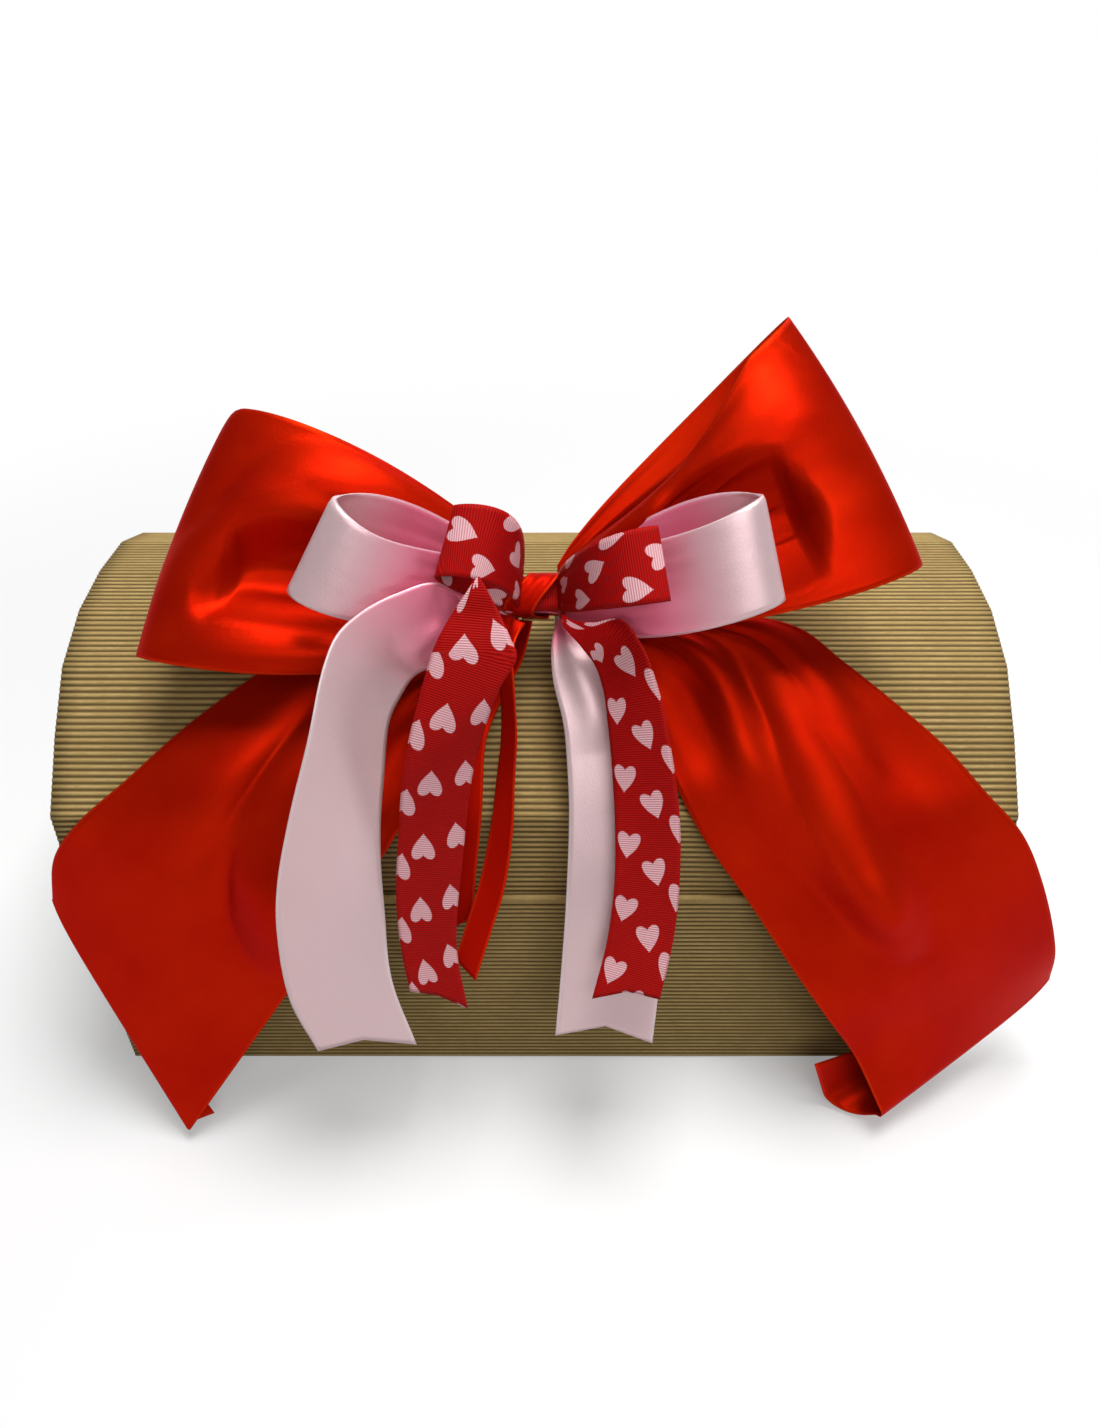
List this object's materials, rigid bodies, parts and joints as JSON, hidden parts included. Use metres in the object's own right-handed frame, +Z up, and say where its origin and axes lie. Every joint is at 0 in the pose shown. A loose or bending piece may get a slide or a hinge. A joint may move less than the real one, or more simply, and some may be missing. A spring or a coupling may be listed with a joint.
{
  "type": "gift trunk box",
  "caption": "Small trunk-shaped gift box of open-flute kraft card with a hinged barrel lid, closed, and a layered satin and heart-print ribbon bow wired to the lid",
  "frame": {"origin": "centre of the flat underside of the base, on the surface it stands on", "axes": "+X along the box to the right as seen from the front, front with the bow's tails towards -Y, +Z up"},
  "size_m": [0.4267, 0.2602, 0.3066],
  "materials": {
    "kraft_fluting": "matt uncoated kraft paper, fluted",
    "kraft_liner": "matt uncoated kraft card, smooth",
    "red_satin": "glossy woven satin",
    "pink_satin": "soft-sheen woven satin",
    "heart_grosgrain": "ribbed grosgrain printed with pale pink hearts",
    "steel_wire": "bare soft wire"
  },
  "bodies": {
    "base": {"base_sheet": "kraft_liner", "base_front_fluting": "kraft_fluting", "base_back_fluting": "kraft_fluting", "base_end_left": "kraft_liner", "base_end_right": "kraft_liner", "base_end_fluting_left": "kraft_fluting", "base_end_fluting_right": "kraft_fluting"},
    "lid": {"lid_sheet": "kraft_liner", "lid_fluting": "kraft_fluting", "lid_end_left": "kraft_liner", "lid_end_right": "kraft_liner", "lid_end_fluting_left": "kraft_fluting", "lid_end_fluting_right": "kraft_fluting", "wide_ribbon_loop_left": "red_satin", "wide_ribbon_loop_right": "red_satin", "wide_ribbon_tail_left": "red_satin", "wide_ribbon_tail_right": "red_satin", "wide_ribbon_gather": "red_satin", "pink_ribbon_loop_left": "pink_satin", "pink_ribbon_loop_right": "pink_satin", "pink_ribbon_tail_left": "pink_satin", "pink_ribbon_tail_right": "pink_satin", "pink_ribbon_gather": "pink_satin", "heart_ribbon_loop_left": "heart_grosgrain", "heart_ribbon_loop_right": "heart_grosgrain", "heart_ribbon_tail_left": "heart_grosgrain", "heart_ribbon_tail_right": "heart_grosgrain", "heart_ribbon_gather": "heart_grosgrain", "tie_wrap": "red_satin", "tie_strand_front": "red_satin", "tie_strand_rear": "red_satin", "bow_wire": "steel_wire"}
  },
  "joints": [
    {"name": "lid_hinge", "type": "hinge", "parent": "base", "child": "lid", "pos_m": [0, 0.105, 0.1092], "axis": [-1, 0, 0], "range_deg": [0, 105]}
  ]
}
